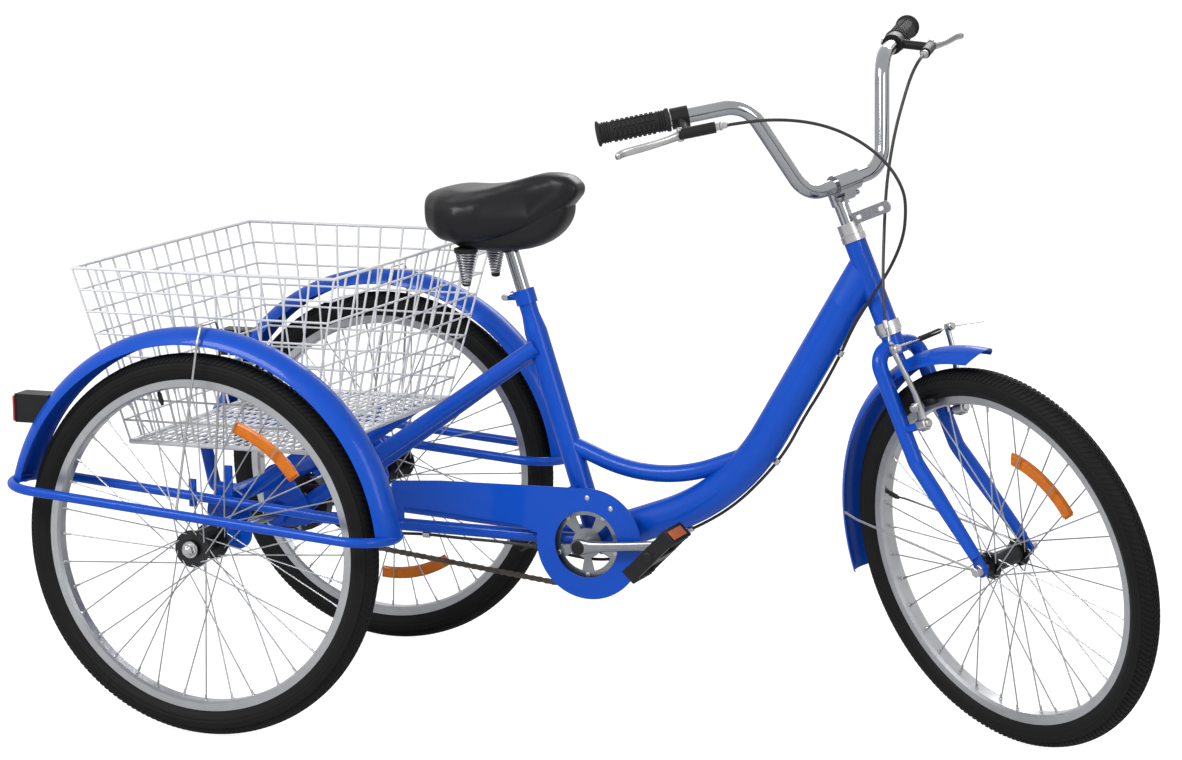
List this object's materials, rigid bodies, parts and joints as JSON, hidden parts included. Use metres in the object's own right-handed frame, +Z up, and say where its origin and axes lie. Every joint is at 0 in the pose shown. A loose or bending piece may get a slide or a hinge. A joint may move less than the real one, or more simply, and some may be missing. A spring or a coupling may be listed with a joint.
{
  "type": "adult tricycle",
  "caption": "Three-wheeled cycle with a step-through frame, sprung saddle, raised handlebar and a wire basket between the rear wheels.",
  "frame": {"origin": "middle of the bounding box on the ground", "axes": "+X forward, +Y to the rider's left, +Z up"},
  "size_m": [1.79, 0.823, 1.0808],
  "materials": {
    "tyre": "moulded tread",
    "alloy": "brushed",
    "black_metal": "black satin",
    "chrome": "polished",
    "steel": "plated",
    "white_wire": "white coated wire",
    "black_soft": "vinyl and rubber",
    "black_plastic": "moulded",
    "chain_steel": "oiled dark",
    "blue_paint": "gloss"
  },
  "bodies": {
    "frame": {"axle_carrier": "blue_paint", "band_brake": "black_metal", "basket_ends": "white_wire", "basket_floor": "white_wire", "basket_sides": "white_wire", "basket_struts": "blue_paint", "bottom_bracket_shell": "blue_paint", "brace_tube": "blue_paint", "chain": "chain_steel", "chain_guard": "blue_paint", "chain_stays": "blue_paint", "fender_stay_wires": "steel", "head_tube": "blue_paint", "headset_cups": "steel", "main_tube": "blue_paint", "rear_brake_cable": "black_plastic", "rear_fenders": "blue_paint", "rear_reflectors": "black_plastic", "saddle": "black_soft", "saddle_base": "black_plastic", "saddle_springs": "steel", "seat_post": "chrome", "seat_stays": "blue_paint", "seat_tube": "blue_paint", "wheel_guards": "blue_paint"},
    "front_wheel": {"front_wheel_hub": "black_metal", "front_wheel_rim": "alloy", "front_wheel_spokes": "chrome", "front_wheel_tyre": "tyre"},
    "rear_wheel_right": {"rear_axle_right": "chrome", "rear_wheel_right_hub": "black_metal", "rear_wheel_right_rim": "alloy", "rear_wheel_right_spokes": "chrome", "rear_wheel_right_tyre": "tyre"},
    "rear_wheel_left": {"rear_axle_left": "chrome", "rear_wheel_left_hub": "black_metal", "rear_wheel_left_rim": "alloy", "rear_wheel_left_spokes": "chrome", "rear_wheel_left_tyre": "tyre"},
    "rear_sprocket": {"rear_sprocket": "black_metal"},
    "crankset": {"chainring": "steel", "crank_arm_left": "steel", "crank_arm_right": "steel", "crank_spindle": "steel"},
    "pedal_right": {"pedal_right": "black_plastic"},
    "pedal_left": {"pedal_left": "black_plastic"},
    "steering": {"brake_lever_bodies": "black_plastic", "brake_levers": "steel", "fork": "blue_paint", "front_axle": "chrome", "front_brake": "steel", "front_brake_cable": "black_plastic", "front_fender": "blue_paint", "grips": "black_soft", "handlebar": "chrome", "headset_nuts": "steel", "lamp_bracket": "steel", "rear_brake_cable_free": "black_plastic", "stem": "chrome"}
  },
  "joints": [
    {"name": "steering", "type": "hinge", "parent": "frame", "child": "steering", "pos_m": [0.43251, 0, 0.639], "axis": [-0.3746, 0, 0.9272], "range_deg": [-30, 90], "deforming": ["rear_brake_cable_free"]},
    {"name": "front_wheel_spin", "type": "hinge", "parent": "steering", "child": "front_wheel", "pos_m": [0.62673, -0.03, 0.29699], "axis": [0.4636, 0.866, 0.1873], "continuous": true},
    {"name": "rear_right_spin", "type": "hinge", "parent": "frame", "child": "rear_wheel_right", "pos_m": [-0.56349, -0.341, 0.3], "axis": [0, 1, 0], "continuous": true},
    {"name": "rear_left_spin", "type": "hinge", "parent": "frame", "child": "rear_wheel_left", "pos_m": [-0.56349, 0.341, 0.3], "axis": [0, 1, 0], "continuous": true},
    {"name": "crank_spin", "type": "hinge", "parent": "frame", "child": "crankset", "pos_m": [-0.04349, 0, 0.278], "axis": [0, 1, 0], "continuous": true},
    {"name": "sprocket_spin", "type": "hinge", "parent": "frame", "child": "rear_sprocket", "pos_m": [-0.56349, -0.045, 0.3], "axis": [0, 1, 0], "continuous": true},
    {"name": "pedal_right_spin", "type": "hinge", "parent": "crankset", "child": "pedal_right", "pos_m": [0.10793, -0.1, 0.29125], "axis": [0, 1, 0], "continuous": true},
    {"name": "pedal_left_spin", "type": "hinge", "parent": "crankset", "child": "pedal_left", "pos_m": [-0.19492, 0.1, 0.26475], "axis": [0, 1, 0], "continuous": true}
  ],
  "couplings": [
    {"joint": "sprocket_spin", "follows": "crank_spin", "ratio": 2}
  ]
}
